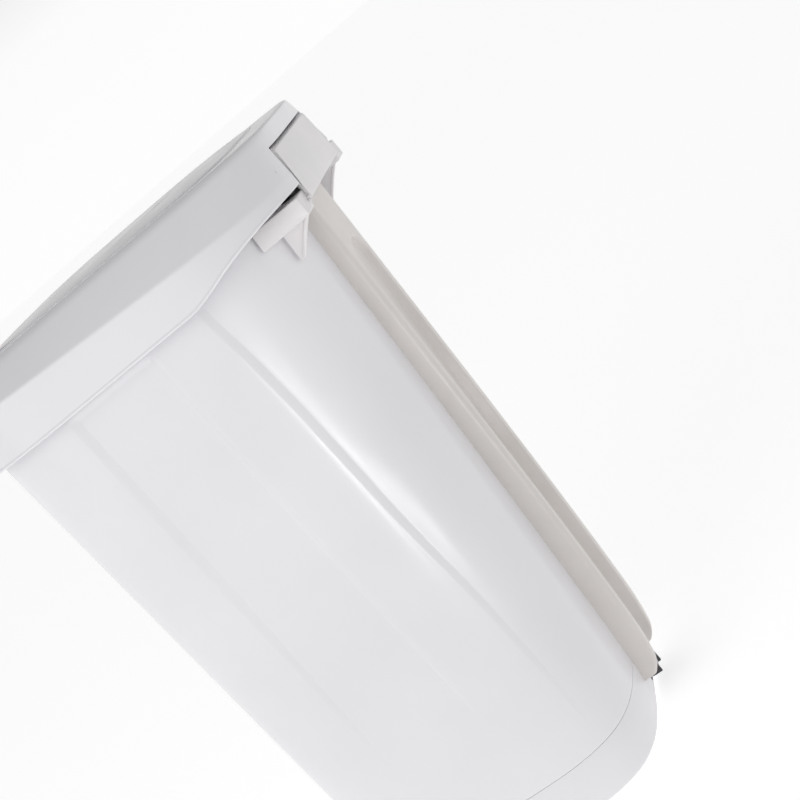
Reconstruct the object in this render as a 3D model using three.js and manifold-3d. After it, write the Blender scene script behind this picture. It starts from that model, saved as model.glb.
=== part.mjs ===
// Pedal bin of about 50 litres: a tapered tub on a base shoe, a hinged lid, and a rear column that hides the
// rod by which the pedal lifts the lid. Millimetres, +Z up, the pedal at -Y and the hinge at +Y.
import * as THREE from 'three';
import { mergeVertices } from 'three/addons/utils/BufferGeometryUtils.js';
import Module from 'manifold-3d';

const wasm = await Module();
wasm.setup();

// ---- Driving dimensions -------------------------------------------------------------------------------
const GAP = 0.3;                       // between pieces that touch
const RING_POINTS = 96;                // points round a body section

const FOOT = { height: 4, radius: 12, x: 118, front: -118, rear: 118 };
const SEAM = 54.4;                     // underside of the tub, on the base shoe
const RIM = 648;                       // top edge of the tub
const WALL = 3;
const FLOOR = 4;
const RIM_BEAD = { height: 6, out: 2.5 };
const FRONT_CORNER = 3.7;              // superellipse exponents of the corners
const REAR_CORNER = 4;
const LID_REAR_CORNER = 4.4;

const PANEL = { half: 50, bottom: 135, top: 598, depth: 3 };   // recess in each side wall

const SHOE = { wall: 4, top: 22, bottom: 30, flange: 4 };
const LID = { bottom: 607.5, shoulder: 651.5, lean: -0.057, half: 179, front: 179, rear: 239, wall: 3 };
const LID_TOP = { chamfer: 675, rim: 679, seat: 675.5, crown: 7, rearChamfer: 0.3 };
const LID_PANEL = { inset: 47, rear: 192, lift: 0.3, edge: 4.5, dome: 4.5 };
const EAR = { outer: 115, front: 209, rise: 21 };
const BUFFER = { x: 70, radius: 5, height: 6 };

const AXIS = { y: 225, z: 648 };       // lid hinge
const REAR_FACE = 235.5;
const NOTCH = { low: 629, lowHalf: 99, high: 667, highHalf: 91 };
const HANDLE = { front: 209.5, bottom: 612, barrel: 18, wall: 4, hollow: 84, clear: 2.7 };
const HANDLE_SCREW = { x: 45, z: 630, end: 213 };
const GUSSET = { inner: 96, outer: 102, bottom: 575, foot: 198 };
const LEDGE = { outer: 128, front: 174, rear: 232, bottom: 604, top: 620.5 };
const PIN = { radius: 4, inner: 87, outer: 112 };

const COLUMN = { half: 42, rail: 27, bottom: 28, top: 606, wall: 2, chamfer: 4, floorEnd: 64 };
const TROUGH_TOP = 552;
const ROD = { radius: 2.5, bottom: 30, top: 644, yLow: 166.2, zLow: 60, slope: 0.0767 };
const ROD_CLEAR = 3.1;                 // from the rod's centre line to the column's inner face
const PUSH_HEAD = { front: 209, rear: 226, half: 8, height: 5.2, top: 644.4 };
const NOSE = { radius: 5, y: 211, z: 650, ribTop: 666.6 };

const AXLE = { y: 40, z: 26, radius: 4, half: 66 };
const LEVER = { half: 8, thick: 6, front: -186, rear: 168.5, slope: -0.04 };
const PEDAL = { half: 62, front: -205, rear: -166, thick: 9 };
const COUPLING = { half: 12, front: 158.5, rear: 170, bottom: 11, top: 36, slotTop: 29 };
const COUPLING_PIN = { y: 163.2, z: 20.7, radius: 2 };

const SHIFT_Y = -(PEDAL.front + LID.rear + 1) / 2;   // brings the middle of the whole bin over the origin

// ---- Materials ----------------------------------------------------------------------------------------
const white = { color: 0xeeedf0, roughness: 0.3, metalness: 0 };
const steel = { color: 0x8d9094, roughness: 0.35, metalness: 1 };
const darkPlastic = { color: 0x3a3a3c, roughness: 0.5, metalness: 0 };
const rubber = { color: 0x2b2b2d, roughness: 0.85, metalness: 0 };

// ---- Solids -------------------------------------------------------------------------------------------
function solid(geometry) {
  const bare = geometry.clone();
  bare.deleteAttribute('normal');
  bare.deleteAttribute('uv');
  const merged = mergeVertices(bare, 1e-4);
  return new wasm.Manifold(new wasm.Mesh({
    numProp: 3,
    vertProperties: new Float32Array(merged.attributes.position.array),
    triVerts: new Uint32Array(merged.index.array),
  }));
}

function geometryOf(manifold) {
  const mesh = manifold.getMesh();
  const geometry = new THREE.BufferGeometry();
  geometry.setAttribute('position', new THREE.BufferAttribute(new Float32Array(mesh.vertProperties), 3));
  geometry.setIndex(new THREE.BufferAttribute(new Uint32Array(mesh.triVerts), 1));
  return geometry;
}

// A box between two corners.
function box(x0, x1, y0, y1, z0, z1) {
  const geometry = new THREE.BoxGeometry(x1 - x0, y1 - y0, z1 - z0);
  geometry.translate((x0 + x1) / 2, (y0 + y1) / 2, (z0 + z1) / 2);
  return solid(geometry);
}

// A round bar along X, Y or Z from one end to the other.
function bar(axis, from, to, across, radius, sides = 24) {
  const geometry = new THREE.CylinderGeometry(radius, radius, to - from, sides);
  const middle = (from + to) / 2;
  if (axis === 'x') {
    geometry.rotateZ(-Math.PI / 2);
    geometry.translate(middle, across[0], across[1]);
  } else if (axis === 'y') {
    geometry.translate(across[0], middle, across[1]);
  } else {
    geometry.rotateX(Math.PI / 2);
    geometry.translate(across[0], across[1], middle);
  }
  return solid(geometry);
}

// An outline in the YZ plane, extruded along X.
function plate(outline, x0, x1) {
  const shape = new THREE.Shape(outline.map(([y, z]) => new THREE.Vector2(y, z)));
  const geometry = new THREE.ExtrudeGeometry(shape, { depth: x1 - x0, bevelEnabled: false });
  geometry.applyMatrix4(new THREE.Matrix4().set(0, 0, 1, x0, 1, 0, 0, 0, 0, 1, 0, 0, 0, 0, 0, 1));
  return solid(geometry);
}

// An outline in the XZ plane, extruded along Y.
function prism(outline, y0, y1) {
  const shape = new THREE.Shape(outline.map(([x, z]) => new THREE.Vector2(x, z)));
  const geometry = new THREE.ExtrudeGeometry(shape, { depth: y1 - y0, bevelEnabled: false });
  geometry.applyMatrix4(new THREE.Matrix4().set(1, 0, 0, 0, 0, 0, -1, y1, 0, 1, 0, 0, 0, 0, 0, 1));
  return solid(geometry);
}

// Joins a stack of equal rings. The ends are capped, or joined to each other when the stack is a loop.
function loft(rings, isLoop) {
  const count = rings[0].length;
  const positions = rings.flat().flatMap((p) => [p.x, p.y, p.z]);
  const index = [];
  const last = isLoop ? rings.length : rings.length - 1;
  for (let level = 0; level < last; level += 1) {
    const above = (level + 1) % rings.length;
    for (let i = 0; i < count; i += 1) {
      const j = (i + 1) % count;
      const [a, b] = [level * count + i, level * count + j];
      const [c, d] = [above * count + i, above * count + j];
      index.push(a, b, d, a, d, c);
    }
  }
  if (!isLoop) {
    for (const [level, faces] of [[0, -1], [rings.length - 1, 1]]) {
      const ring = rings[level];
      const flat = ring.map((p) => new THREE.Vector2(p.x, p.y));
      const anticlockwise = THREE.ShapeUtils.isClockWise(flat) ? -1 : 1;
      for (const [a, b, c] of THREE.ShapeUtils.triangulateShape(flat, [])) {
        const turned = faces * anticlockwise > 0 ? [a, b, c] : [a, c, b];
        index.push(...turned.map((k) => level * count + k));
      }
    }
  }
  const geometry = new THREE.BufferGeometry();
  geometry.setAttribute('position', new THREE.Float32BufferAttribute(positions, 3));
  geometry.setIndex(index);
  return solid(geometry);
}

// ---- The bin's own section ----------------------------------------------------------------------------
// A rounded square, whose front and rear halves have depths and corners of their own.
function section(half, front, rear, z, rearCorner = REAR_CORNER) {
  const ring = [];
  for (let i = 0; i < RING_POINTS; i += 1) {
    const turn = (2 * Math.PI * i) / RING_POINTS;
    const [c, s] = [Math.cos(turn), Math.sin(turn)];
    const power = 2 / (s < 0 ? FRONT_CORNER : rearCorner);
    const depth = s < 0 ? front : rear;
    const x = Math.sign(c) * half * Math.abs(c) ** power;
    const y = Math.sign(s) * depth * Math.abs(s) ** power;
    ring.push(new THREE.Vector3(x, y, z));
  }
  return ring;
}

// The tub's wall leans outwards all round, and most at the rear.
const tubHalf = (z) => 161.8 + (2.1 * z) / 640;
const tubFront = (z) => 158.7 + (5.7 * z) / 640;
const tubRear = (z) => 154.5 + 48.7 * (z / 640) ** 0.81;
function tubSection(z, out = 0, rearOut = out) {
  return section(tubHalf(z) + out, tubFront(z) + out, tubRear(z) + rearOut, z);
}

const steps = (from, to, count) => Array.from({ length: count + 1 }, (_, i) => from + ((to - from) * i) / count);

const rodY = (z) => ROD.yLow + (z - ROD.zLow) * ROD.slope;
const columnRear = (z) => 176 + 40 * (z / 600) ** 0.62 - 9 * Math.max(0, 1 - z / 90) ** 2;
const leverZ = (y) => AXLE.z + (y - AXLE.y) * LEVER.slope;

// ---- Tub ----------------------------------------------------------------------------------------------
// The shallow recess down each side: a flat-bottomed cut that leans with the wall.
function sideRecess(side, extra) {
  const level = (z) => {
    const inner = side * (tubHalf(z) - PANEL.depth - extra);
    const outer = side * (tubHalf(z) + 12);
    const [narrow, wide] = [PANEL.half - 4 + extra, PANEL.half + extra];
    const corners = [[inner, -narrow], [side * tubHalf(z), -wide], [outer, -wide],
      [outer, wide], [side * tubHalf(z), wide], [inner, narrow]];
    const ring = corners.map(([x, y]) => new THREE.Vector3(x, y, z));
    return side > 0 ? ring : ring.reverse();
  };
  return loft([level(PANEL.bottom - extra), level(PANEL.top + extra)], false);
}

function tub() {
  const outside = [...steps(SEAM, RIM - RIM_BEAD.height, 8).map((z) => tubSection(z)),
    tubSection(RIM - RIM_BEAD.height + 1, RIM_BEAD.out, 0), tubSection(RIM, RIM_BEAD.out, 0)];
  const inside = steps(SEAM + FLOOR, RIM + 5, 8).map((z) => tubSection(z, -WALL));
  const recesses = [1, -1].map((side) => sideRecess(side, 0));
  const bulges = [1, -1].map((side) => sideRecess(side, WALL));
  let shell = loft(outside, false);
  let cavity = loft(inside, false);
  recesses.forEach((recess) => { shell = shell.subtract(recess); });
  bulges.forEach((bulge) => { cavity = cavity.subtract(bulge); });
  shell = shell.subtract(cavity);
  for (const side of [1, -1]) {
    shell = shell.subtract(bar('y', 190, 215, [side * HANDLE_SCREW.x, HANDLE_SCREW.z], 2.4, 16));
  }
  return shell;
}

// ---- Base shoe ----------------------------------------------------------------------------------------
// A band with flanges at its top and bottom, open at the front for the pedal and at the rear for the lever.
function baseShoe() {
  const top = SEAM - GAP;
  const low = FOOT.height;
  const band = loft([tubSection(low), tubSection(top), tubSection(top, -SHOE.top),
    tubSection(top - SHOE.flange, -SHOE.top), tubSection(top - SHOE.flange, -SHOE.wall),
    tubSection(low + SHOE.flange, -SHOE.wall), tubSection(low + SHOE.flange, -SHOE.bottom),
    tubSection(low, -SHOE.bottom)], true);
  return band.subtract(box(-72, 72, -170, -110, low + SHOE.flange, top - SHOE.flange))
    .subtract(box(-15, 15, 110, 175, low + SHOE.flange, top - SHOE.flange));
}

function foot(x, y) {
  const profile = [[0, 0], [FOOT.radius - 2, 0], [FOOT.radius, FOOT.height - GAP], [0, FOOT.height - GAP]];
  const geometry = new THREE.LatheGeometry(profile.map(([r, z]) => new THREE.Vector2(r, z)), 24);
  geometry.rotateX(Math.PI / 2);
  geometry.translate(x, y, 0);
  return solid(geometry);
}

// ---- Lid ----------------------------------------------------------------------------------------------
// How far the middle of the lid stands above its front and rear ends.
const crownAt = (y) => LID_TOP.crown * (1 - (y / LID.rear) ** 2);

// The chamfer round the top is shallow at the rear. The inner rings are set in by the wall as well.
function lidSection(inset, height, wall = 0) {
  const rear = LID.rear - inset * LID_TOP.rearChamfer - wall;
  const ring = section(LID.half - inset - wall, LID.front - inset - wall, rear, 0, LID_REAR_CORNER);
  ring.forEach((p) => { p.z = height(p.y); });
  return ring;
}

// The sunk seat of the top panel, which stops short of the hinge.
function topSection(inset, height) {
  const rear = LID_PANEL.rear + LID_PANEL.inset - inset;
  const ring = section(LID.half - inset, LID.front - inset, rear, 0, LID_REAR_CORNER);
  ring.forEach((p) => { p.z = height(p.y); });
  return ring;
}

const level = (z) => () => z;
const leaning = (z) => (y) => z + LID.lean * y;
const crowned = (z) => (y) => z + crownAt(y);

function notchPrism(clear, y0, y1) {
  const [low, high] = [NOTCH.lowHalf - clear, NOTCH.highHalf - clear];
  return prism([[-low, 560], [low, 560], [low, NOTCH.low], [high, NOTCH.high], [-high, NOTCH.high],
    [-low, NOTCH.low]], y0, y1);
}

function lidShell() {
  const outer = [lidSection(-1, level(LID.bottom)), lidSection(2, leaning(LID.shoulder)),
    lidSection(28, crowned(LID_TOP.chamfer)), lidSection(37, crowned(LID_TOP.rim)),
    topSection(45, crowned(LID_TOP.rim)), topSection(46, crowned(LID_TOP.seat))];
  const inner = [lidSection(38, crowned(LID_TOP.chamfer - LID.wall), LID.wall),
    lidSection(28, crowned(LID_TOP.chamfer - LID.wall), LID.wall),
    lidSection(2.5, leaning(LID.shoulder - 2), LID.wall), lidSection(-1, level(LID.bottom), LID.wall)];
  const ears = loft(outer.slice(0, 3), false)
    .intersect(box(-EAR.outer, EAR.outer, EAR.front, LID.rear + 5, 600, LID_TOP.chamfer + 10));
  const rising = plate([[110, 590], [110, 607], [117, 607.6], [137, 612], [156, 617.4], [184, 623], [220, 627.6],
    [260, LID.bottom + EAR.rise], [260, 590]], -200, 200);
  let lid = loft([...inner, ...outer], false).add(ears).subtract(notchPrism(0, 190, 260)).subtract(rising);
  for (const side of [1, -1]) {
    const [from, to] = [side * 80, side * (PIN.outer + GAP)].sort((a, b) => a - b);
    lid = lid.subtract(bar('x', from, to, [AXIS.y, AXIS.z], PIN.radius + GAP));
  }
  return lid;
}

function lidPanel() {
  const { inset, lift, edge, dome } = LID_PANEL;
  const ring = (more, height) => topSection(inset + more, crowned(LID_TOP.seat + height));
  return loft([ring(0, lift), ring(0, edge - 1), ring(2, edge), ring(45, edge + dome - 1),
    ring(90, edge + dome)], false);
}

// The lever under the lid's rear edge: a rib that ends in a round nose over the rod's head.
function liftLever() {
  const { y, z, radius, ribTop } = NOSE;
  const rib = plate([[199, ribTop], [y - radius, ribTop - 12], [y - radius, z], [y + 1, z],
    [y - 2.5, z + 7], [y - 2.5, ribTop]], -6, 6);
  return rib.add(bar('x', -6, 6, [y, z], radius));
}

function lidBuffer(x) {
  const y = -tubFront(RIM) * 0.975;
  return bar('z', RIM + GAP, RIM + BUFFER.height, [x, y], BUFFER.radius, 20);
}

// ---- Rear handle --------------------------------------------------------------------------------------
// The handle's end view: square below, and round about the hinge at its top rear edge.
function handleOutline() {
  const outline = [[HANDLE.front, HANDLE.bottom], [REAR_FACE, HANDLE.bottom]];
  const start = Math.acos((REAR_FACE - AXIS.y) / HANDLE.barrel);
  for (const turn of steps(start, Math.PI / 2, 8)) {
    outline.push([AXIS.y + HANDLE.barrel * Math.cos(turn), AXIS.z + HANDLE.barrel * Math.sin(turn)]);
  }
  outline.push([HANDLE.front, AXIS.z + HANDLE.barrel]);
  return outline;
}

function ledge(side) {
  const round = (LEDGE.top - LEDGE.bottom) / 2;
  const outline = [[LEDGE.rear, LEDGE.bottom], [LEDGE.rear, LEDGE.top]];
  for (const turn of steps(0, Math.PI, 8)) {
    outline.push([LEDGE.front + round - round * Math.sin(turn), LEDGE.bottom + round + round * Math.cos(turn)]);
  }
  const [from, to] = [side * GUSSET.inner, side * LEDGE.outer].sort((a, b) => a - b);
  return plate(outline, from, to);
}

function gusset(side) {
  const [from, to] = [side * GUSSET.inner, side * GUSSET.outer].sort((a, b) => a - b);
  const { bottom, foot } = GUSSET;
  return plate([[185, HANDLE.bottom + 3], [185, bottom], [foot, bottom], [REAR_FACE, HANDLE.bottom - 1],
    [REAR_FACE, HANDLE.bottom + 3]], from, to);
}

function rearHandle() {
  const { hollow, front, wall, bottom, clear } = HANDLE;
  let handle = plate(handleOutline(), -NOTCH.lowHalf, NOTCH.lowHalf).intersect(notchPrism(clear, 190, 250));
  for (const side of [1, -1]) {
    handle = handle.add(gusset(side)).add(ledge(side));
  }
  handle = handle.subtract(box(-hollow, hollow, front + wall, REAR_FACE - wall, bottom - 5, 658));
  handle = handle.subtract(box(-13, 13, 200, REAR_FACE - 3.6, bottom - 5, 680));
  for (const side of [1, -1]) {
    const [from, to] = [side * (PIN.inner - GAP), side * 110].sort((a, b) => a - b);
    handle = handle.subtract(bar('x', from, to, [AXIS.y, AXIS.z], PIN.radius + 0.02))
      .subtract(bar('y', 200, HANDLE_SCREW.end + 0.5, [side * HANDLE_SCREW.x, HANDLE_SCREW.z], 2.3, 16));
  }
  const tubCore = loft([tubSection(560, 0.5), tubSection(640, 0.5)], false);
  return handle.subtract(tubCore);
}

function hingePin(side) {
  const [from, to] = [side * PIN.inner, side * PIN.outer].sort((a, b) => a - b);
  return bar('x', from, to, [AXIS.y, AXIS.z], PIN.radius - GAP);
}

function handleScrew(side) {
  const place = [side * HANDLE_SCREW.x, HANDLE_SCREW.z];
  const inner = tubRear(HANDLE_SCREW.z) - WALL - 1.5;
  return bar('y', inner - 2.5, inner, place, 5, 16).add(bar('y', inner - 1, HANDLE_SCREW.end, place, 2, 16));
}

// ---- Rear column and the rod in it --------------------------------------------------------------------
// The channel's section: two rails with a trough between them. The trough ends below the column's top.
function columnSection(z) {
  const front = tubRear(z) + 0.45;
  const rear = columnRear(z);
  const depth = z < TROUGH_TOP ? Math.max(rear - rodY(z) - ROD_CLEAR - COLUMN.wall, 0.4) : 0.4;
  const { half, rail, wall, chamfer } = COLUMN;
  const floor = rear - depth;
  const outer = [[half, front], [half, rear - chamfer], [half - chamfer, rear], [rail, rear], [rail - 3, floor]];
  const inner = [[rail - 4, floor - wall], [rail + 2, rear - wall], [half - chamfer - 1, rear - wall],
    [half - wall, rear - chamfer - 1], [half - wall, front]];
  const mirror = (points) => points.map(([x, y]) => [-x, y]).reverse();
  const loop = [...outer, ...mirror(outer), ...mirror(inner), ...inner];
  return loop.map(([x, y]) => new THREE.Vector3(x, y, z));
}

function columnCover() {
  const levels = [...steps(COLUMN.bottom, 90, 6), ...steps(110, TROUGH_TOP - 12, 12), TROUGH_TOP - 4,
    TROUGH_TOP, COLUMN.top];
  return loft(levels.map(columnSection), false).subtract(box(-16, 16, 150, 200, 20, COLUMN.floorEnd));
}

// Turns an upright piece, made about the line x = 0, y = 0, onto the rod's sloping line.
function onRodLine(geometry) {
  geometry.rotateX(-Math.atan(ROD.slope));
  geometry.translate(0, rodY(0), 0);
  return geometry;
}

function alongRod(from, to, radius, sides = 20) {
  const geometry = new THREE.CylinderGeometry(radius, radius, to - from, sides);
  geometry.rotateX(Math.PI / 2);
  geometry.translate(0, 0, (from + to) / 2);
  return solid(onRodLine(geometry));
}

function pushHead() {
  const under = PUSH_HEAD.top - PUSH_HEAD.height;
  return box(-PUSH_HEAD.half, PUSH_HEAD.half, PUSH_HEAD.front, PUSH_HEAD.rear, under, PUSH_HEAD.top)
    .subtract(alongRod(under - 5, ROD.top + GAP, ROD.radius + GAP));
}

function rodGuide(z) {
  return box(-12, 12, tubRear(z + 9) + 0.6, rodY(z) + 1.2, z, z + 9)
    .subtract(alongRod(z - 5, z + 15, ROD.radius + 0.35));
}

function rodCoupling() {
  const { half, front, rear, bottom, top, slotTop } = COUPLING;
  return box(-half, half, front, rear, bottom, top)
    .subtract(box(-LEVER.half - 0.8, LEVER.half + 0.8, front - 1, rear + 1, bottom - 1, slotTop))
    .subtract(alongRod(ROD.bottom - 0.5, top + 5, ROD.radius + GAP))
    .subtract(bar('x', -half - 1, half + 1, [COUPLING_PIN.y, COUPLING_PIN.z], COUPLING_PIN.radius + GAP, 16));
}

function couplingPin() {
  const { y, z, radius } = COUPLING_PIN;
  return bar('x', -COUPLING.half - 0.5, COUPLING.half + 0.5, [y, z], radius, 16);
}

// ---- Pedal --------------------------------------------------------------------------------------------
function pedalLever() {
  const { half, thick, front, rear } = LEVER;
  const edge = (y, side) => [y, leverZ(y) + (side * thick) / 2];
  const strip = plate([edge(front, -1), edge(146, -1), [153, 14.5], [rear, 14.5], [rear, 26.5], [153, 26.5],
    edge(146, 1), edge(front, 1)], -half, half);
  const boss = bar('x', -half - 4, half + 4, [AXLE.y, AXLE.z], AXLE.radius + 4);
  const fork = box(-20, 20, COUPLING_PIN.y - 4.6, rear + 1, COUPLING_PIN.z - 3, COUPLING_PIN.z + 3);
  return strip.add(boss).subtract(bar('x', -20, 20, [AXLE.y, AXLE.z], AXLE.radius + GAP)).subtract(fork);
}

function pedalPad() {
  const { half, front, rear, thick } = PEDAL;
  const low = leverZ(front) + LEVER.thick / 2 + GAP;
  const shape = new THREE.Shape();
  const corner = 14;
  shape.moveTo(-half, rear);
  shape.lineTo(-half, front + corner);
  shape.absarc(-half + corner, front + corner, corner, Math.PI, 1.5 * Math.PI, false);
  shape.absarc(half - corner, front + corner, corner, 1.5 * Math.PI, 2 * Math.PI, false);
  shape.lineTo(half, rear);
  const geometry = new THREE.ExtrudeGeometry(shape, { depth: thick, bevelEnabled: false, curveSegments: 6 });
  geometry.translate(0, 0, low);
  let pad = solid(geometry);
  for (const y of steps(front + 9, rear - 14, 3)) {
    pad = pad.subtract(box(-half + 12, half - 12, y, y + 4, low + thick - 1.5, low + thick + 1));
  }
  return pad;
}

function axleBracket(side) {
  const [from, to] = [side * 44, side * 58].sort((a, b) => a - b);
  const outline = [[AXLE.y - 16, SEAM - GAP], [AXLE.y - 9, AXLE.z - 8], [AXLE.y + 9, AXLE.z - 8],
    [AXLE.y + 16, SEAM - GAP]];
  return plate(outline, from, to)
    .subtract(bar('x', from - 1, to + 1, [AXLE.y, AXLE.z], AXLE.radius + GAP));
}

// ---- The assembly -------------------------------------------------------------------------------------
const group = new THREE.Group();
group.position.y = SHIFT_Y;

function add(name, manifold, look) {
  const mesh = new THREE.Mesh(geometryOf(manifold), new THREE.MeshStandardMaterial(look));
  mesh.name = name;
  group.add(mesh);
}

const SIDES = [['right', 1], ['left', -1]];

add('tub', tub(), white);
add('base_shoe', baseShoe(), white);
add('rear_handle', rearHandle(), white);
add('column_cover', columnCover(), white);
add('lid_shell', lidShell(), white);
add('lid_panel', lidPanel(), white);
add('lid_lift_lever', liftLever(), white);
add('lift_rod', alongRod(ROD.bottom, ROD.top, ROD.radius), steel);
add('rod_push_head', pushHead(), darkPlastic);
add('rod_coupling', rodCoupling(), darkPlastic);
add('coupling_pin', couplingPin(), steel);
add('rod_guide_lower', rodGuide(150), darkPlastic);
add('rod_guide_upper', rodGuide(520), darkPlastic);
add('pedal_lever', pedalLever(), steel);
add('pedal_pad', pedalPad(), darkPlastic);
add('pedal_axle', bar('x', -AXLE.half, AXLE.half, [AXLE.y, AXLE.z], AXLE.radius), steel);
for (const [name, side] of SIDES) {
  add(`hinge_pin_${name}`, hingePin(side), steel);
  add(`handle_screw_${name}`, handleScrew(side), steel);
  add(`axle_bracket_${name}`, axleBracket(side), white);
  add(`lid_buffer_${name}`, lidBuffer(side * BUFFER.x), rubber);
  add(`foot_front_${name}`, foot(side * FOOT.x, FOOT.front), rubber);
  add(`foot_rear_${name}`, foot(side * FOOT.x, FOOT.rear), rubber);
}

export default group;
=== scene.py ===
"""A white pedal bin of about 50 litres: fine pieces, finishes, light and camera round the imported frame."""
import math

import bmesh
import bpy
import numpy as np
from mathutils import Matrix, Vector


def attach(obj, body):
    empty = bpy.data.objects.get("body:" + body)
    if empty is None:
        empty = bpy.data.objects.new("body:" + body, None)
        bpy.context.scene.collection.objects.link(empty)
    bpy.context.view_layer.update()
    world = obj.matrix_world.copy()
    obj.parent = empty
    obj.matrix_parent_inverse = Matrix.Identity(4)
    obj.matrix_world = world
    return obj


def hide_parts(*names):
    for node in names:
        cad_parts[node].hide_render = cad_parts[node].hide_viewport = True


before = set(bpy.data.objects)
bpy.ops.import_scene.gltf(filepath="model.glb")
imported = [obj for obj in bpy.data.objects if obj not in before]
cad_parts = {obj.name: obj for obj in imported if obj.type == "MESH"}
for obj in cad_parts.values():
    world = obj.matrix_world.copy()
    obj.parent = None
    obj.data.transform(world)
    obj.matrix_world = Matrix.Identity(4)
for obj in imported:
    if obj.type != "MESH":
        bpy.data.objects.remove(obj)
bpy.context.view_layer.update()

# ---- Sizes in millimetres, measured from the middle of the tub ---------------------------------------
MM = 0.001
LID_REAR, PEDAL_FRONT = 239, -205
FRAME_Y = -(PEDAL_FRONT + LID_REAR + 1) / 2      # from the tub's middle to the frame's origin

FOOT_TOP = 4
SEAM = 54.4
RIM = 648
WALL = 3
FRONT_POWER, REAR_POWER, LID_POWER = 3.7, 4, 4.4
AXIS_Y, AXIS_Z = 225, 648
REAR_FACE = 235.5
NOTCH_LOW, NOTCH_HIGH = (99, 629), (91, 667)
HANDLE_CLEAR = 3.1
COLUMN_BOTTOM, COLUMN_TOP, TROUGH_TOP = 28, 606, 552


def tub_half(z):
    return 161.8 + 2.1 * z / 640


def tub_front(z):
    return 158.7 + 5.7 * z / 640


def tub_rear(z):
    return 154.5 + 48.7 * (z / 640) ** 0.81


def column_rear(z):
    return 176 + 40 * (z / 600) ** 0.62 - 9 * max(0, 1 - z / 90) ** 2


def rod_y(z):
    return 166.2 + (z - 60) * 0.0767


def ease(value, start, end):
    """0 before start, 1 after end, and smooth between them."""
    t = np.clip((np.asarray(value, float) - start) / (end - start), 0, 1)
    return t * t * (3 - 2 * t)


def ramp(value, start, end):
    """0 before start, 1 after end, and a straight slope between them with its ends a little rounded."""
    t = np.clip((np.asarray(value, float) - start) / (end - start), 0, 1)
    r = 0.14
    low, high = t * t / (2 * r * (1 - r)), 1 - (1 - t) ** 2 / (2 * r * (1 - r))
    return np.where(t < r, low, np.where(t > 1 - r, high, (t - r / 2) / (1 - r)))


# ---- Meshes ---------------------------------------------------------------------------------------------
def piece(name, points, faces, angle=32):
    """An object from points in millimetres. Edges sharper than the angle stay crisp."""
    places = (np.asarray(points, float) + (0, FRAME_Y, 0)) * MM
    mesh = bpy.data.meshes.new(name)
    mesh.from_pydata(places.tolist(), [], faces)
    made = bpy.data.objects.new(name, mesh)
    bpy.context.scene.collection.objects.link(made)
    crisp(made, angle)
    return made


def crisp(made, angle=32):
    made.data.shade_smooth()
    made.data.set_sharp_from_angle(angle=math.radians(angle))


def settle(made):
    """Turns the object's modifiers into its mesh."""
    depsgraph = bpy.context.evaluated_depsgraph_get()
    mesh = bpy.data.meshes.new_from_object(made.evaluated_get(depsgraph))
    made.modifiers.clear()
    old, made.data = made.data, mesh
    bpy.data.meshes.remove(old)
    mesh.name = made.name


def soften(made, width, segments=3, angle=30):
    """Rounds the sharp edges of a plain solid by a radius in millimetres."""
    rounding = made.modifiers.new("rounding", "BEVEL")
    rounding.width = width * MM
    rounding.segments = segments
    rounding.limit_method = "ANGLE"
    rounding.angle_limit = math.radians(angle)
    rounding.use_clamp_overlap = True
    settle(made)
    return made


def carve(made, added=(), cut=(), within=(), angle=32):
    """Joins solids to a solid, cuts others out of it, and keeps what is within the last."""
    for kind, tools in (("UNION", added), ("DIFFERENCE", cut), ("INTERSECT", within)):
        for tool in tools:
            step = made.modifiers.new(kind, "BOOLEAN")
            step.operation = kind
            step.solver = "EXACT"
            step.object = tool
    settle(made)
    for tool in (*added, *cut, *within):
        bpy.data.objects.remove(tool)
    work = bmesh.new()
    work.from_mesh(made.data)
    bmesh.ops.remove_doubles(work, verts=work.verts, dist=0.002 * MM)
    bmesh.ops.holes_fill(work, edges=[e for e in work.edges if e.is_boundary], sides=0)
    work.to_mesh(made.data)
    work.free()
    crisp(made, angle)
    return made


def skin(rings, loop=False, bottom=True, top=True):
    """Points and faces over a stack of rings, which run anticlockwise seen from above, lowest first."""
    rings = np.asarray(rings, float)
    levels, count = rings.shape[:2]
    faces = []
    for low in range(levels if loop else levels - 1):
        high = (low + 1) % levels
        for i in range(count):
            j = (i + 1) % count
            faces.append((low * count + i, low * count + j, high * count + j, high * count + i))
    if not loop:
        if bottom:
            faces.append(tuple(range(count - 1, -1, -1)))
        if top:
            faces.append(tuple(range((levels - 1) * count, levels * count)))
    return rings.reshape(-1, 3), faces


def rounded_stack(controls, loop=False):
    """Rings through a stack of (ring, corner radius), each corner rounded over four steps."""
    rings = [np.asarray(ring, float) for ring, _ in controls]
    out = []
    last = len(rings) - 1
    for k, (_, radius) in enumerate(controls):
        here = rings[k]
        if radius == 0 or (not loop and k in (0, last)):
            out.append(here)
            continue
        sides = []
        for other in (rings[k - 1], rings[(k + 1) % len(rings)]):
            away = other - here
            length = np.linalg.norm(away, axis=1, keepdims=True)
            reach = np.minimum(radius, length * 0.45)
            sides.append(here + away / np.maximum(length, 1e-6) * reach)
        for t in np.linspace(0, 1, 5):
            out.append((1 - t) ** 2 * sides[0] + 2 * t * (1 - t) * here + t * t * sides[1])
    return out


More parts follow.
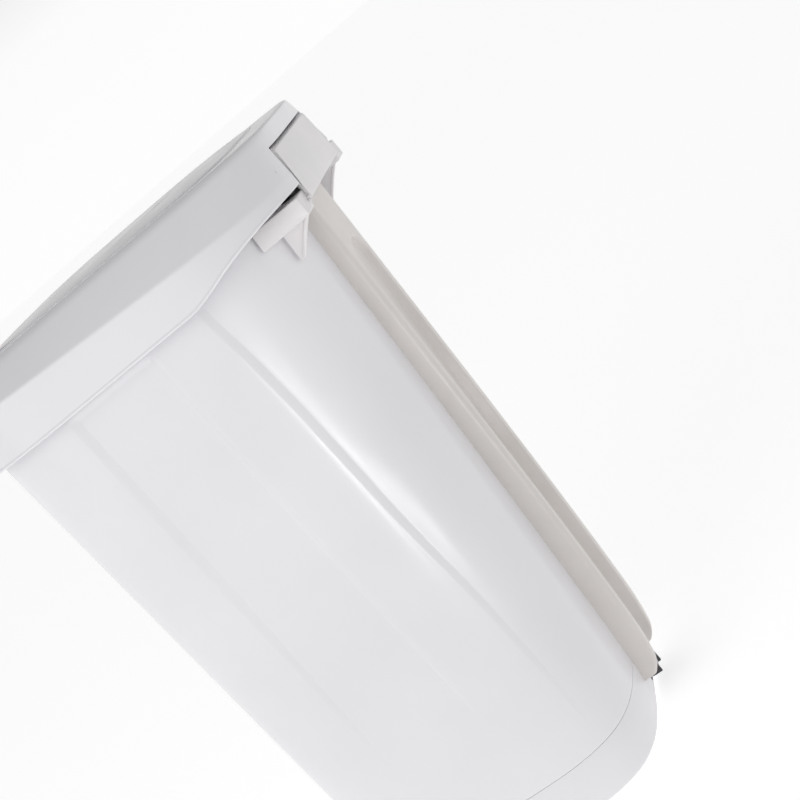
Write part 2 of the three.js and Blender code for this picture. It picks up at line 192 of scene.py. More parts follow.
def rounded_outline(corners, radius, steps=5):
    """A closed outline with its corners rounded. A corner may carry a radius of its own."""
    spots = [np.array(c[:2], float) for c in corners]
    radii = [c[2] if len(c) > 2 else radius for c in corners]
    out = []
    for k, here in enumerate(spots):
        before, after = spots[k - 1] - here, spots[(k + 1) % len(spots)] - here
        size = min(radii[k], 0.48 * np.linalg.norm(before), 0.48 * np.linalg.norm(after))
        if size == 0:
            out.append(here)
            continue
        a = here + before / np.linalg.norm(before) * size
        b = here + after / np.linalg.norm(after) * size
        for t in np.linspace(0, 1, steps + 1):
            out.append((1 - t) ** 2 * a + 2 * t * (1 - t) * here + t * t * b)
    return np.array(out)


def extrude(name, outline, axis, start, end):
    """An outline pushed along x, y or z. Its two coordinates are the other two axes in their order."""
    outline = np.asarray(outline, float)
    place = {"x": (1, 2), "y": (0, 2), "z": (0, 1)}[axis]
    along = {"x": 0, "y": 1, "z": 2}[axis]
    rings = np.zeros((2, len(outline), 3))
    rings[:, :, place[0]] = outline[:, 0]
    rings[:, :, place[1]] = outline[:, 1]
    rings[0, :, along], rings[1, :, along] = start, end
    made = piece(name, *skin(rings))
    outward(made)
    return made


def outward(made):
    """Points the faces of a plain closed solid outwards."""
    work = bmesh.new()
    work.from_mesh(made.data)
    bmesh.ops.recalc_face_normals(work, faces=work.faces)
    work.to_mesh(made.data)
    work.free()


def block(name, x0, x1, y0, y1, z0, z1):
    return extrude(name, [(x0, y0), (x1, y0), (x1, y1), (x0, y1)], "z", z0, z1)


def disc(across, height, radius, sides=48):
    """A circle in two coordinates."""
    turns = np.linspace(0, 2 * math.pi, sides, endpoint=False)
    return np.stack([across + radius * np.cos(turns), height + radius * np.sin(turns)], 1)


def lathe(name, profile, sides=40):
    """A solid turned about the upright line through the middle, from (radius, height) points, lowest first."""
    turns = np.linspace(0, 2 * math.pi, sides, endpoint=False)
    rings = [np.stack([r * np.cos(turns), r * np.sin(turns), np.full(sides, z)], 1) for r, z in profile]
    return piece(name, *skin(rings), angle=40)


# ---- The bin's own section ----------------------------------------------------------------------------
def half_section(half, front, rear, powers, stops):
    """The right half of a rounded square, from the middle of its front to the middle of its rear.

    stops are (y, count): the points between two stops are evenly spaced. Gives x, y and the outward x, y.
    """
    w = np.linspace(-1, 1, 4001)
    v = np.abs(w)
    turn = np.sign(w) * math.pi / 2 * v**3 * (10 - 15 * v + 6 * v * v)
    power = np.where(w < 0, powers[0], powers[1])
    depth = np.where(w < 0, front, rear)
    x = half * np.abs(np.cos(turn)) ** (2 / power)
    x[0] = x[-1] = 0
    y = np.sign(w) * depth * np.abs(np.sin(turn)) ** (2 / power)
    length = np.concatenate([[0], np.cumsum(np.hypot(np.diff(x), np.diff(y)))])
    marks, begin = [], 0
    for stop, count in stops:
        end = length[-1] if stop is None else np.interp(stop, y, length)
        marks.append(np.linspace(begin, end, count, endpoint=False))
        begin = end
    marks = np.concatenate([*marks, [length[-1]]])
    px, py = np.interp(marks, length, x), np.interp(marks, length, y)
    ahead, behind = np.minimum(marks + 1.5, length[-1]), np.maximum(marks - 1.5, 0)
    tx = np.interp(ahead, length, x) - np.interp(behind, length, x)
    ty = np.interp(ahead, length, y) - np.interp(behind, length, y)
    tx[[0, -1]], ty[[0, -1]] = (1, -1), 0
    size = np.hypot(tx, ty)
    return px, py, ty / size, -tx / size


def whole(x, y, z):
    """A full ring from its right half."""
    z = np.broadcast_to(z, x.shape)
    right = np.stack([x, y, z], 1)
    left = right[-2:0:-1] * (-1, 1, 1)
    return np.concatenate([right, left])


PLAIN_STOPS = [(-110, 50), (110, 40), (None, 60)]

# The side wall, from front to rear: a sunk panel between two sloped strips, a raised band, and a third strip
# that steps in to the rear corner.
PANEL_STRIP, BAND_STRIP, CORNER_STRIP = 4.8, 3.6, 4.0      # half widths at the top
RELIEF = 3.0


def strip_lines(z):
    """Where the three strips run at a height."""
    corner = np.interp(z, [60, 161, 229, 273, 317, 365, 485, 545, 605],
                       [122, 124, 124, 123, 121, 120, 119.5, 117, 112])
    return -44 - (603 - z) * 0.0195, 50, corner


def strip_fades(z):
    """How much is left of the panel and of the corner's step at a height. Both run out downwards."""
    return float(np.clip((z - 138) / 240, 0, 1)), float(np.clip((z - 62) / 250, 0, 1))


def tub_ring(z, out=0.0, relief=True, bead=0.0):
    front_line, band_line, corner_line = strip_lines(z)
    panel, corner = strip_fades(z)
    widths = (0.6 + PANEL_STRIP * panel**0.6, 0.6 + BAND_STRIP * panel**0.6, 0.8 + CORNER_STRIP * corner**0.5)
    stops = [(front_line - widths[0], 64), (front_line + widths[0], 10), (band_line - widths[1], 18),
             (band_line + widths[1], 8), (corner_line - widths[2], 12), (corner_line + widths[2], 10),
             (None, 72)]
    x, y, nx, ny = half_section(tub_half(z), tub_front(z), tub_rear(z), (FRONT_POWER, REAR_POWER), stops)
    sunk = ramp(y, front_line - widths[0], front_line + widths[0])
    sunk = sunk - ramp(y, band_line - widths[1], band_line + widths[1])
    top = 1 - ease(z, 598, 605)
    step = ramp(y, corner_line - widths[2], corner_line + widths[2]) * ease(x, 46, 120)
    inwards = RELIEF * (sunk * panel * top * (x > 100) + step * corner * (1 - ease(z, 636, 642)))
    move = out + bead * (1 - ease(y, 120, 185)) - (inwards if relief else 0)
    return whole(x + nx * move, y + ny * move, z)


def made_tub():
    heights = [*np.linspace(60, 590, 54), 594, 597, 599, 601, 603, 605, 608, 616, 626, 636, 641]
    controls = [(tub_ring(SEAM, -2), 0), (tub_ring(SEAM, 0), 0.6)]
    controls += [(tub_ring(z), 0) for z in heights]
    controls += [(tub_ring(RIM - 6), 0.6), (tub_ring(RIM - 5, bead=2.5), 1.2), (tub_ring(RIM, bead=2.5), 1.5),
                 (tub_ring(RIM, -WALL), 1.2)]
    controls += [(tub_ring(z, -WALL), 0) for z in (640, *heights[-6:2:-3])]
    controls += [(tub_ring(SEAM + 4, -WALL), 7), (tub_ring(SEAM + 4, -WALL - 14), 0)]
    return piece("tub_shell", *skin(rounded_stack(controls)))


def plain_ring(z, out):
    x, y, nx, ny = half_section(tub_half(z), tub_front(z), tub_rear(z), (FRONT_POWER, REAR_POWER), PLAIN_STOPS)
    return whole(x + nx * out, y + ny * out, z)


def made_base():
    """The band under the tub, with a flange at its top and bottom and an opening at each end."""
    top = SEAM - 0.3
    controls = [(plain_ring(FOOT_TOP, 0), 4), (plain_ring(top, 0), 0.5), (plain_ring(top, -22), 0.6),
                (plain_ring(top - 4, -22), 0.6), (plain_ring(top - 4, -4), 1.5),
                (plain_ring(FOOT_TOP + 4, -4), 1.5), (plain_ring(FOOT_TOP + 4, -30), 0.8),
                (plain_ring(FOOT_TOP, -30), 0.8)]
    band = piece("base_band", *skin(rounded_stack(controls, loop=True), loop=True))
    mouth = rounded_outline([(-72, 8), (72, 8), (72, 50.1), (-72, 50.1)], 5)
    gate = rounded_outline([(-15, 8), (15, 8), (15, 50.1), (-15, 50.1)], 3)
    return carve(band, cut=[extrude("mouth", mouth, "y", -175, -110), extrude("gate", gate, "y", 110, 180)])


# ---- Lid ------------------------------------------------------------------------------------------------
LID_HALF, LID_FRONT = 179, 179
SHOULDER, CHAMFER, LID_RIM, SEAT, CROWN = 651.5, 675, 679, 675.5, 7
LID_WALL = 3
REAR_CHAMFER = 0.08                     # of the chamfer at the sides
REAR_FALL = 0.3                         # of the crown's fall towards the front
PANEL_INSET, PANEL_REAR = 47, 192
PANEL_LIFT, PANEL_EDGE, PANEL_DOME = 0.3, 4.6, 4.4
RISING = ([-300, 112, 118, 127, 137, 147, 156, 170, 184, 202, 220, 260],
          [607.5, 607.5, 607.9, 609.6, 612, 614.8, 617.4, 620.6, 623.2, 625.8, 627.6, 628.6])


def crown(y):
    """The lid's top is crowned from front to rear, and falls away less towards the rear."""
    return CROWN * (1 - np.where(np.asarray(y) > 0, REAR_FALL, 1) * (y / LID_REAR) ** 2)


def lid_bottom(y, up=0.0):
    return np.interp(y, *RISING) + up


def lid_shoulder(y, up=0.0):
    return SHOULDER - 0.057 * y + up


def lid_ring(inset, height, wall=0.0):
    rear = LID_REAR - inset * REAR_CHAMFER - wall
    x, y, _, _ = half_section(LID_HALF - inset - wall, LID_FRONT - inset - wall, rear, (FRONT_POWER, LID_POWER),
                              LID_STOPS)
    return whole(x, y, height(y))


def seat_ring(inset, height):
    """A ring of the sunk seat in the lid's top, which stops short of the hinge."""
    x, y, _, _ = half_section(LID_HALF - inset, LID_FRONT - inset, PANEL_REAR + PANEL_INSET - inset,
                              (FRONT_POWER, LID_POWER), LID_STOPS)
    return whole(x, y, height(y))


LID_STOPS = [(-120, 60), (120, 50), (None, 90)]


def closing(ring, height, middle_y):
    """Rings that carry a surface in from a ring to its middle."""
    out = []
    for share in (0.82, 0.6, 0.36, 0.12):
        x, y = ring[:, 0] * share, middle_y + (ring[:, 1] - middle_y) * share
        out.append((np.stack([x, y, height(y)], 1), 0))
    return out


def made_lid():
    seat = seat_ring(PANEL_INSET, lambda y: SEAT + crown(y))
    under = lid_ring(38, lambda y: CHAMFER - LID_WALL + crown(y), LID_WALL)
    controls = closing(under, lambda y: CHAMFER - LID_WALL + crown(y), 10)[::-1]
    controls += [(under, 0), (lid_ring(28, lambda y: CHAMFER - LID_WALL + crown(y), LID_WALL), 2),
                 (lid_ring(2.5, lambda y: lid_shoulder(y, -2), LID_WALL), 2),
                 (lid_ring(-1, lid_bottom, LID_WALL), 0.6),
                 (lid_ring(-1.5, lid_bottom), 0.8),
                 (lid_ring(-1.5, lambda y: lid_bottom(y, 2.0)), 0.6),
                 (lid_ring(-0.9, lambda y: lid_bottom(y, 2.9)), 0.6),
                 (lid_ring(2, lid_shoulder), 2.2),
                 (lid_ring(28, lambda y: CHAMFER + crown(y)), 5),
                 (lid_ring(37, lambda y: LID_RIM + crown(y)), 4),
                 (seat_ring(44.6, lambda y: LID_RIM + crown(y)), 1),
                 (seat_ring(45.6, lambda y: SEAT + crown(y)), 0.5),
                 (seat, 0)]
    controls += closing(seat, lambda y: SEAT + crown(y), 0)
    shell = piece("lid_hood", *skin(rounded_stack(controls)))
    ears = []
    for side in (1, -1):
        outline = [(side * 84, 209), (side * 115, 209), (side * 115, 240), (side * 84, 240)]
        ear = extrude("ear", outline, "z", 629, 674)
        core = [lid_ring(0.4, lid_bottom), lid_ring(3.4, lambda y: lid_shoulder(y, -0.8)),
                lid_ring(29, lambda y: CHAMFER - 1.4 + crown(y))]
        ears.append(carve(ear, within=[piece("lid core", *skin(core))]))
    (low, low_z), (high, high_z) = NOTCH_LOW, NOTCH_HIGH
    notch = rounded_outline([(-low, 560, 0), (low, 560, 0), (low, low_z, 2), (high, high_z, 1.5),
                             (-high, high_z, 1.5), (-low, low_z, 2)], 1)
    holes = [extrude("hole", disc(AXIS_Y, AXIS_Z, 4.3), "x", min(s * 80, s * 112.3), max(s * 80, s * 112.3))
             for s in (1, -1)]
    return carve(shell, added=ears, cut=[extrude("notch", notch, "y", 190, 262), *holes])


def made_panel():
    """The crowned panel let into the lid's top."""
    def level(up):
        return lambda y: SEAT + crown(y) + up

    base = seat_ring(PANEL_INSET, level(PANEL_LIFT))
    controls = closing(base, level(PANEL_LIFT), 0)[::-1]
    controls += [(base, 0.3), (seat_ring(PANEL_INSET, level(PANEL_EDGE)), 1.3)]
    for share in np.linspace(0.06, 1, 12):
        rise = PANEL_EDGE + PANEL_DOME * (1 - (1 - share) ** 2)
        controls.append((seat_ring(PANEL_INSET + 90 * share, level(rise)), 0))
    controls += closing(controls[-1][0], level(PANEL_EDGE + PANEL_DOME), 0)
    return piece("lid_top_panel", *skin(rounded_stack(controls)))


# ---- Rear handle ----------------------------------------------------------------------------------------
HANDLE_FRONT, HANDLE_LOW, BARREL = 209.5, 612, 18
LEDGE_INNER, LEDGE_OUTER = 95, 128
LEDGE = [(232, 605, 2), (232, 623, 2), (175, 623.5, 8), (173, 604.5, 9)]      # y, z and rounding
LEDGE_POCKET = [(216, 615), (228, 613), (228, 627), (219, 627)]


def half_at(z):
    """The handle's half width, which follows the lid's notch."""
    (low, low_z), (high, high_z) = NOTCH_LOW, NOTCH_HIGH
    return np.interp(z, [low_z, high_z], [low, high]) - HANDLE_CLEAR


def made_handle():
    start = math.acos((REAR_FACE - AXIS_Y) / BARREL)
    arc = [(AXIS_Y + BARREL * math.cos(t), AXIS_Z + BARREL * math.sin(t))
           for t in np.linspace(start, math.pi / 2, 12)]
    outline = np.array([(HANDLE_FRONT, HANDLE_LOW), (REAR_FACE, HANDLE_LOW), (REAR_FACE, NOTCH_LOW[1]), *arc,
                        (HANDLE_FRONT, AXIS_Z + BARREL), (HANDLE_FRONT, NOTCH_LOW[1])])
    rings = np.zeros((2, len(outline), 3))
    rings[:, :, 1:] = outline
    rings[0, :, 0], rings[1, :, 0] = -half_at(outline[:, 1]), half_at(outline[:, 1])
    handle = piece("handle_block", *skin(rings))
    outward(handle)
    soften(handle, 1.1)
    added, cut = [], []
    for side in (1, -1):
        curve = [((1 - t) ** 2 * 235.2 + 2 * t * (1 - t) * 221 + t * t * 197,
                  (1 - t) ** 2 * 612 + 2 * t * (1 - t) * 604 + t * t * 576) for t in np.linspace(0, 1, 12)]
        web = extrude("web", [(188, 616), (188, 576), *curve[::-1], (235.2, 616)], "x",
                      min(side * 96.2, side * 101), max(side * 96.2, side * 101))
        added.append(soften(web, 0.9))
        bead = [curve[0]] + [(y + 0.4, z - 0.4) for y, z in curve] + [(y - 1.7, z + 1.9) for y, z in curve[::-1]]
        rim = extrude("bead", bead[1:], "x", min(side * 95.6, side * 102.6), max(side * 95.6, side * 102.6))
        added.append(soften(rim, 0.8))
        shelf = rounded_outline(LEDGE, 3, 8)
        tray = extrude("shelf", shelf, "x", *sorted((side * LEDGE_INNER, side * LEDGE_OUTER)))
        added.insert(0, soften(tray, 1.2, 2, angle=50))
        cut.append(extrude("pocket", rounded_outline(LEDGE_POCKET, 1.2), "x",
                           min(side * 118, side * 126), max(side * 118, side * 126)))
        cut.append(extrude("pin hole", disc(AXIS_Y, AXIS_Z, 4.05), "x", min(side * 86.7, side * 110),
                           max(side * 86.7, side * 110)))
    cut.append(soften(block("grip", -84, 84, 213.5, 231.5, 606, 658), 3))
    cut.append(block("rod slot", -13, 13, 200, 231.9, 606, 680))
    core = [(tub_ring(z, 0.6, relief=False), 0) for z in (560, 600, 641, 641.5)]
    core += [(tub_ring(z, 3.1, relief=False), 0) for z in (641.6, 649)]
    cut.append(piece("tub core", *skin(rounded_stack(core))))
    return carve(handle, added=added, cut=cut)


# ---- Column over the lift rod -----------------------------------------------------------------------------
def column_ring(z):
    """Two rails with a trough between them, open towards the tub."""
    front, rear = tub_rear(z) - 0.7, column_rear(z)
    if z < COLUMN_BOTTOM + 14:
        rear -= 5 * (1 - (z - COLUMN_BOTTOM) / 14) ** 2
    round_top = TROUGH_TOP - 26
    rail = 27.0 if z < round_top else math.sqrt(max(26**2 - (z - round_top) ** 2, 0)) + 1
    rail = max(rail, 4)
    depth = max(rear - rod_y(z) - 5.1, 0.4) if z <= TROUGH_TOP else 0.02
    depth *= 1 - float(ease(z, TROUGH_TOP - 5, TROUGH_TOP)) * 0.95
    floor = rear - depth
    slope = min(3, rail * 0.5)
    outer = [(42, front, 0), (42, rear, 5.5), (rail, rear, 2.2), (rail - slope, floor, 2.2)]
    inner = [(rail - slope - 1.5, floor - 2, 1), (rail + 2 if rail > 20 else rail + 6, rear - 2, 1),
             (40, rear - 2, 4), (40, front, 0)]
    right = [*outer, *[(-x, y, r) for x, y, r in outer[::-1]]]
    back = [*[(-x, y, r) for x, y, r in inner[::-1]], *inner]
    corners = [*right, *back]
    spots = rounded_outline_fixed(corners)
    return np.stack([spots[:, 0], spots[:, 1], np.full(len(spots), float(z))], 1)


def rounded_outline_fixed(corners, steps=4):
    """Like rounded_outline, with the same number of points however small a corner gets."""
    spots = [np.array(c[:2], float) for c in corners]
    out = []
    for k, here in enumerate(spots):
        before, after = spots[k - 1] - here, spots[(k + 1) % len(spots)] - here
        gap = max(np.linalg.norm(before), 1e-6), max(np.linalg.norm(after), 1e-6)
        if corners[k][2] == 0:
            out.append(here)
            continue
        size = min(corners[k][2], 0.48 * gap[0], 0.48 * gap[1])
        a, b = here + before / gap[0] * size, here + after / gap[1] * size
        for t in np.linspace(0, 1, steps + 1):
            out.append((1 - t) ** 2 * a + 2 * t * (1 - t) * here + t * t * b)
    return np.array(out)


def made_column():
    heights = [*np.linspace(COLUMN_BOTTOM, 44, 9), *np.linspace(52, 520, 48), *np.linspace(524, TROUGH_TOP, 22),
               TROUGH_TOP + 1, 570, 590, COLUMN_TOP - 1, COLUMN_TOP]
    column = piece("rod_cover", *skin([column_ring(z) for z in heights]))
    outward(column)
    gate = rounded_outline([(-16, 20, 0), (16, 20, 0), (16, 64, 5), (-16, 64, 5)], 0)
    return carve(column, cut=[extrude("gate", gate, "y", 150, 200)])


# ---- Pedal ------------------------------------------------------------------------------------------------
def made_pedal_pad():
    low = 26 + (PEDAL_FRONT - 40) * -0.04 + 3.3
    outline = rounded_outline([(-62, -166, 2), (-62, PEDAL_FRONT, 15), (62, PEDAL_FRONT, 15), (62, -166, 2)],
                              2, 10)
    pad = extrude("pedal_plate", outline, "z", low, low + 7.6)
    soften(pad, 2.2, 4)
    return pad, low + 7.6


# ---- Geometry Nodes: pieces that repeat ------------------------------------------------------------------
def node(tree, kind, settings=None, links=None):
    """A node with its settings, by socket or property name, and its links, by input name."""
    made = tree.nodes.new(kind)
    for key, value in (settings or {}).items():
        if hasattr(made, key):
            setattr(made, key, value)
    for key, value in (settings or {}).items():
        if not hasattr(made, key):
            made.inputs[key].default_value = value
    for key, source in (links or {}).items():
        tree.links.new(source, made.inputs[key])
    return made


def repeat_tree():
    """Repeats the object's own mesh on a grid of columns and rows round a centre."""
    tree = bpy.data.node_groups.new("repeated fitting", "GeometryNodeTree")
    face = tree.interface
    face.new_socket("Geometry", in_out="INPUT", socket_type="NodeSocketGeometry")
    for name, kind in (("Columns", "Int"), ("Rows", "Int"), ("Across", "Float"), ("Along", "Float"),
                       ("Centre", "Vector"), ("Finish", "Material")):
        face.new_socket(name, in_out="INPUT", socket_type="NodeSocket" + kind)
    face.new_socket("Geometry", in_out="OUTPUT", socket_type="NodeSocketGeometry")
    given = node(tree, "NodeGroupInput").outputs
    grid = node(tree, "GeometryNodeMeshGrid", links={
        "Vertices X": given["Columns"], "Vertices Y": given["Rows"], "Size X": given["Across"],
        "Size Y": given["Along"]})
    placed = node(tree, "GeometryNodeSetPosition", links={"Geometry": grid.outputs["Mesh"],
                                                          "Offset": given["Centre"]})
    copies = node(tree, "GeometryNodeInstanceOnPoints", links={"Points": placed.outputs[0],
                                                               "Instance": given["Geometry"]})
    real = node(tree, "GeometryNodeRealizeInstances", links={"Geometry": copies.outputs[0]})
    finished = node(tree, "GeometryNodeSetMaterial", links={"Geometry": real.outputs[0],
                                                            "Material": given["Finish"]})
    node(tree, "NodeGroupOutput", links={"Geometry": finished.outputs[0]})
    return tree


def repeated(made, tree, finish, columns, rows, across, along, centre):
    """Makes the copies a plain mesh. Sizes in millimetres; the item is made round the origin."""
    for vertex in made.data.vertices:
        vertex.co.y -= FRAME_Y * MM
    step = made.modifiers.new("repeat", "NODES")
    step.node_group = tree
    values = {"Columns": columns, "Rows": rows, "Across": across * MM, "Along": along * MM,
              "Centre": (centre[0] * MM, (centre[1] + FRAME_Y) * MM, centre[2] * MM), "Finish": finish}
    for item in tree.interface.items_tree:
        if item.item_type == "SOCKET" and item.in_out == "INPUT" and item.name in values:
            step[item.identifier] = values[item.name]
    settle(made)
    crisp(made, 40)
    return made


# ---- Finishes -----------------------------------------------------------------------------------------------
def colour(hex_value):
    """An sRGB hex value as linear RGBA."""
    parts = [int(hex_value[i:i + 2], 16) / 255 for i in (1, 3, 5)]
    return (*(c / 12.92 if c <= 0.04045 else ((c + 0.055) / 1.055) ** 2.4 for c in parts), 1)


def per(size):
    """The noise scale whose features are this many millimetres across."""
    return 1 / (size * MM)


def finish(name, light, dark, patch, rough, rough_patch, grain, depth, settings, stretch=(1, 1, 1)):
    """A solid finish: two close colours in soft patches, a roughness that wanders, and a fine surface grain.

    patch, rough_patch and grain are sizes in mm; depth is the grain's height in mm.
    """
    material = bpy.data.materials.new(name)
    material.use_nodes = True
    tree = material.node_tree
    shader = tree.nodes["Principled BSDF"]
    place = node(tree, "ShaderNodeTexCoord").outputs["Object"]
    place = node(tree, "ShaderNodeMapping", {"Scale": stretch}, {"Vector": place}).outputs[0]
    cloud = node(tree, "ShaderNodeTexNoise", {"Scale": per(patch), "Detail": 3.0}, {"Vector": place})
    tint = node(tree, "ShaderNodeValToRGB", links={"Fac": cloud.outputs[0]})
    tint.color_ramp.elements[0].position, tint.color_ramp.elements[1].position = 0.38, 0.64
    tint.color_ramp.elements[0].color, tint.color_ramp.elements[1].color = colour(dark), colour(light)
    tree.links.new(tint.outputs[0], shader.inputs["Base Color"])
    haze = node(tree, "ShaderNodeTexNoise", {"Scale": per(rough_patch), "Detail": 4.0}, {"Vector": place})
    wander = node(tree, "ShaderNodeMapRange", {"From Min": 0.3, "From Max": 0.7, "To Min": rough[0],
                                               "To Max": rough[1]}, {"Value": haze.outputs[0]})
    tree.links.new(wander.outputs[0], shader.inputs["Roughness"])
    skin_noise = node(tree, "ShaderNodeTexNoise", {"Scale": per(grain), "Detail": 2.0}, {"Vector": place})
    bump = node(tree, "ShaderNodeBump", {"Strength": 1.0, "Distance": depth * MM},
                {"Height": skin_noise.outputs[0]})
    tree.links.new(bump.outputs[0], shader.inputs["Normal"])
    for key, value in settings.items():
        shader.inputs[key].default_value = value
    return material


# Polypropylene from a polished mould: white with a cool cast, glossy, with a faint orange-peel skin and slow
# patches where the melt cooled unevenly.
GLOSS_WHITE = finish("moulded_polypropylene_white", "#e9e8eb", "#e6e5e8", 160, (0.2, 0.27), 40, 5, 0.012,
                     {"IOR": 1.49, "Metallic": 0.0})
# The same resin from a spark-finished mould, on pieces that are handled or hidden: duller, with a fine tooth.
SATIN_WHITE = finish("spark_textured_polypropylene_white", "#e6e3e4", "#e1dfe0", 90, (0.3, 0.4), 20, 1.2, 0.02,
                     {"IOR": 1.49, "Metallic": 0.0})
# A warmer, greyer white for the column cover, chosen for its tone alone: it is painted shade, the dim warm tone
# of the rear-facing cover where it is turned away from the light. A warmer, greyer white for the column cover,
# chosen for its tone alone: its real cause isn't known.
PAINTED_SHADE_WHITE = finish("polypropylene_white_painted_shade", "#dad5d2", "#d3ceca", 120, (0.3, 0.4), 20, 1.2, 0.02,
                    {"IOR": 1.49, "Metallic": 0.0})
# Acetal: near black, satin, with the flow marks of a small moulding.
DARK_ACETAL = finish("moulded_acetal_black", "#3b3b3d", "#2f2f31", 14, (0.38, 0.5), 6, 0.9, 0.02,
                     {"IOR": 1.48, "Metallic": 0.0})
# Zinc-plated steel: bright grey with drawn streaks along the part and a soft milky haze.
ZINC_STEEL = finish("zinc_plated_steel", "#b9bcc0", "#9a9da2", 9, (0.26, 0.42), 5, 0.8, 0.012,
                    {"Metallic": 1.0}, stretch=(3, 0.5, 0.5))
# Nitrile rubber: soft black, dull, with a talc bloom and a coarse tooth.
SOFT_RUBBER = finish("moulded_nitrile_rubber", "#39393a", "#252526", 6, (0.7, 0.88), 4, 0.7, 0.05,
                     {"IOR": 1.52, "Metallic": 0.0})


def clad(made, material):
    made.data.materials.clear()
    made.data.materials.append(material)


def stands_for(made, material, body, slot, *nodes):
    """Finishes a piece, hangs it on its body and hides the CAD nodes that it stands for."""
    if material:
        clad(made, material)
    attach(made, body)
    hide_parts(*nodes)


# ---- Camera ---------------------------------------------------------------------------------------------
def made_camera():
    azimuth, elevation, roll = (math.radians(v) for v in (108.548, 13.616, 41.602))
    back = Vector((math.sin(azimuth) * math.cos(elevation), -math.cos(azimuth) * math.cos(elevation),
                   math.sin(elevation)))
    right = (-back).cross(Vector((0, 0, 1))).normalized()
    up = right.cross(-back)
    across = math.cos(roll) * right - math.sin(roll) * up
    upright = math.sin(roll) * right + math.cos(roll) * up
    lens = bpy.data.cameras.new("camera")
    lens.lens, lens.sensor_width = 67.31, 36
    lens.shift_x, lens.shift_y = 0.03, 0.05
    lens.clip_end = 200
    camera = bpy.data.objects.new("camera", lens)
    bpy.context.scene.collection.objects.link(camera)
    turn = Matrix((across, upright, back)).transposed().to_4x4()
    camera.matrix_world = Matrix.Translation((1.34975, 0.53560, 0.72702)) @ turn
    bpy.context.scene.camera = camera


# ---- Studio ---------------------------------------------------------------------------------------------
# How bright the studio is by height: white at the horizon, dimmer above, dimmest overhead.
SKY = ((0.0, 1.12), (0.10, 1.10), (0.24, 0.66), (1.0, 0.36))
TOWARDS_LIGHT = (0.6, -0.8, 0.0)        # the rear of the bin faces the dimmer end of the studio
REAR_SHADE = 0.12                       # how much dimmer that end is
PAPER_GLOW = 0.52                       # lifts the floor to the white of the studio


def made_sky():
    world = bpy.data.worlds.new("studio")
    bpy.context.scene.world = world
    world.use_nodes = True
    tree = world.node_tree
    aim = node(tree, "ShaderNodeTexCoord").outputs["Generated"]
    parts = node(tree, "ShaderNodeSeparateXYZ", links={"Vector": aim})
    shades = node(tree, "ShaderNodeValToRGB", links={"Fac": parts.outputs["Z"]})
    stops = shades.color_ramp.elements
    while len(stops) < len(SKY):
        stops.new(0.5)
    for stop, (height, value) in zip(stops, SKY):
        stop.position, stop.color = height, (value, value, value, 1)
    tree.links.new(shades.outputs[0], tree.nodes["Background"].inputs["Color"])
    lean = node(tree, "ShaderNodeVectorMath", {"operation": "DOT_PRODUCT"}, {0: aim})
    lean.inputs[1].default_value = TOWARDS_LIGHT
    swing = node(tree, "ShaderNodeMapRange", {"From Min": -0.2, "From Max": 0.6, "To Min": 1 - REAR_SHADE,
                                              "To Max": 1.0}, {"Value": lean.outputs["Value"]})
    tree.links.new(swing.outputs[0], tree.nodes["Background"].inputs["Strength"])


def made_floor():
    mesh = bpy.data.meshes.new("floor")
    reach = 40
    mesh.from_pydata([(-reach, -reach, 0), (reach, -reach, 0), (reach, reach, 0), (-reach, reach, 0)], [],
                     [(0, 1, 2, 3)])
    floor = bpy.data.objects.new("floor", mesh)
    bpy.context.scene.collection.objects.link(floor)
    paper = bpy.data.materials.new("white_studio_paper")
    paper.use_nodes = True
    shader = paper.node_tree.nodes["Principled BSDF"]
    shader.inputs["Base Color"].default_value = colour("#f4f4f4")
    shader.inputs["Roughness"].default_value = 0.9
    shader.inputs["Emission Color"].default_value = (1, 1, 1, 1)
    shader.inputs["Emission Strength"].default_value = PAPER_GLOW
    floor.data.materials.append(paper)


def made_lamp(name, place, target, along, size, watts, gloss_only=False):
    """A flat lamp at a place, turned to a target, with its long side along a line."""
    lamp = bpy.data.lights.new(name, "AREA")
    lamp.shape = "RECTANGLE"
    lamp.size, lamp.size_y = size
    lamp.energy = watts
    made = bpy.data.objects.new(name, lamp)
    bpy.context.scene.collection.objects.link(made)
    back = (Vector(place) - Vector(target)).normalized()
    up = back.cross(Vector(along)).normalized()
    turn = Matrix((up.cross(back), up, back)).transposed().to_4x4()
    made.matrix_world = Matrix.Translation(place) @ turn
    made.visible_camera = False
    if gloss_only:
        made.visible_diffuse = False


# The three strips light reflections alone: they draw the streaks along the side wall.
made_camera()
made_sky()
made_floor()
made_lamp("key panel", (2.4, -1.3, 1.3), (0, 0, 0.35), (0, 1, 0), (2.2, 2.2), 13)
made_lamp("low strip", (0.915, 0.48, 0.08), (0.15, 0.11, 0.30), (0.37, -0.30, 0.14), (0.52, 0.045), 1.4, True)
made_lamp("corner strip", (1.08, 0.375, 0.26), (0.16, 0.10, 0.50), (-0.04, 0.09, 0.22), (0.26, 0.045), 0.3, True)
made_lamp("panel strip", (1.087, 0.233, 0.18), (0.16, -0.06, 0.40), (0, 0, 1), (0.40, 0.045), 1.2, True)
bpy.context.scene.view_settings.view_transform = "Standard"

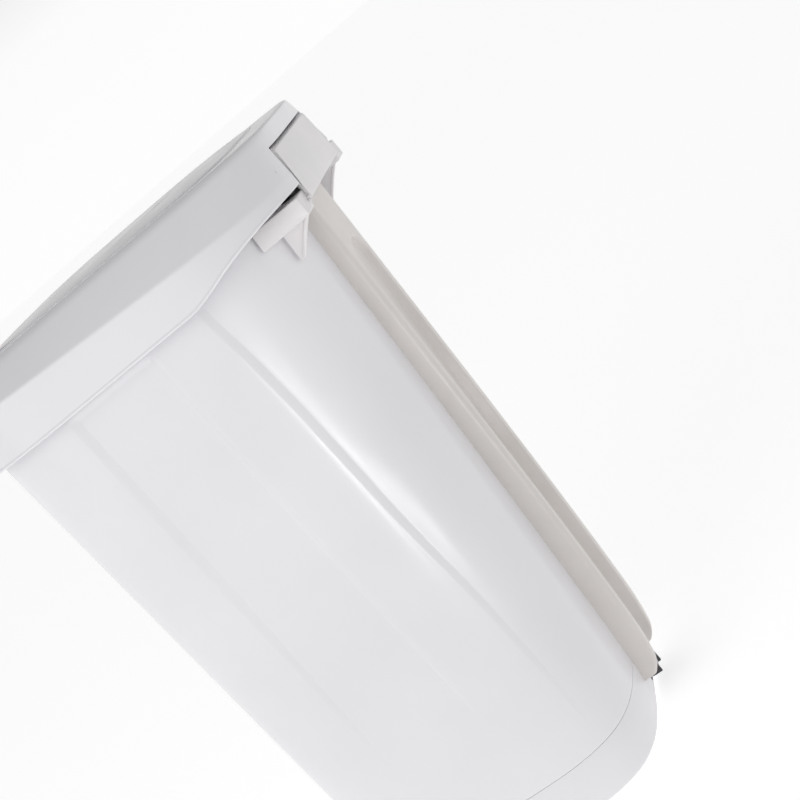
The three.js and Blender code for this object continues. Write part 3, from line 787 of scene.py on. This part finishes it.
# ---- The bin ----------------------------------------------------------------------------------------------
stands_for(made_tub(), GLOSS_WHITE, "bin", "white_shell", "tub")
stands_for(made_base(), GLOSS_WHITE, "bin", "white_shell", "base_shoe")
stands_for(made_handle(), SATIN_WHITE, "bin", "white_shell", "rear_handle")
stands_for(made_column(), PAINTED_SHADE_WHITE, "bin", "white_shell", "column_cover")
stands_for(made_lid(), GLOSS_WHITE, "lid", "white_shell", "lid_shell")
stands_for(made_panel(), GLOSS_WHITE, "lid", "white_shell", "lid_panel")

repeat = repeat_tree()
foot = lathe("rubber_feet", [(3, 1.0), (6.5, 1.0), (7.0, 0.2), (7.6, 0), (10.2, 0), (11.0, 0.3), (11.4, 1.0),
                             (11.9, 3.2), (11.6, 3.7)])
repeated(foot, repeat, SOFT_RUBBER, 2, 2, 236, 236, (0, 0, 0))
stands_for(foot, None, "bin", "rubber", "foot_front_right", "foot_front_left", "foot_rear_right",
           "foot_rear_left")
buffer = lathe("lid_buffers", [(4.2, 0), (5, 0.4), (5, 3.6), (4.7, 4.6), (4.0, 5.3), (2.6, 5.7)], 28)
repeated(buffer, repeat, SOFT_RUBBER, 2, 1, 140, 0, (0, -tub_front(RIM) * 0.975, RIM + 0.3))
stands_for(buffer, None, "bin", "rubber", "lid_buffer_right", "lid_buffer_left")

pad, pad_top = made_pedal_pad()
stands_for(pad, DARK_ACETAL, "pedal", "dark_plastic", "pedal_pad")
rib = extrude("pedal_ribs", rounded_outline([(-50, -1.6), (50, -1.6), (50, 1.6), (-50, 1.6)], 1.6, 6), "z",
              pad_top - 0.6, pad_top + 1.3)
soften(rib, 0.6, 2)
repeated(rib, repeat, SOFT_RUBBER, 1, 6, 0, 25, (0, -185.5, 0))
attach(rib, "pedal")

for names, material in (
        (("lid_lift_lever", "axle_bracket_right", "axle_bracket_left"), SATIN_WHITE),
        (("rod_push_head", "rod_coupling", "rod_guide_lower", "rod_guide_upper"), DARK_ACETAL),
        (("lift_rod", "coupling_pin", "pedal_lever", "pedal_axle", "hinge_pin_right", "hinge_pin_left",
          "handle_screw_right", "handle_screw_left"), ZINC_STEEL)):
    for name in names:
        clad_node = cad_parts[name]
        for slot_of in clad_node.material_slots:
            slot_of.material = material
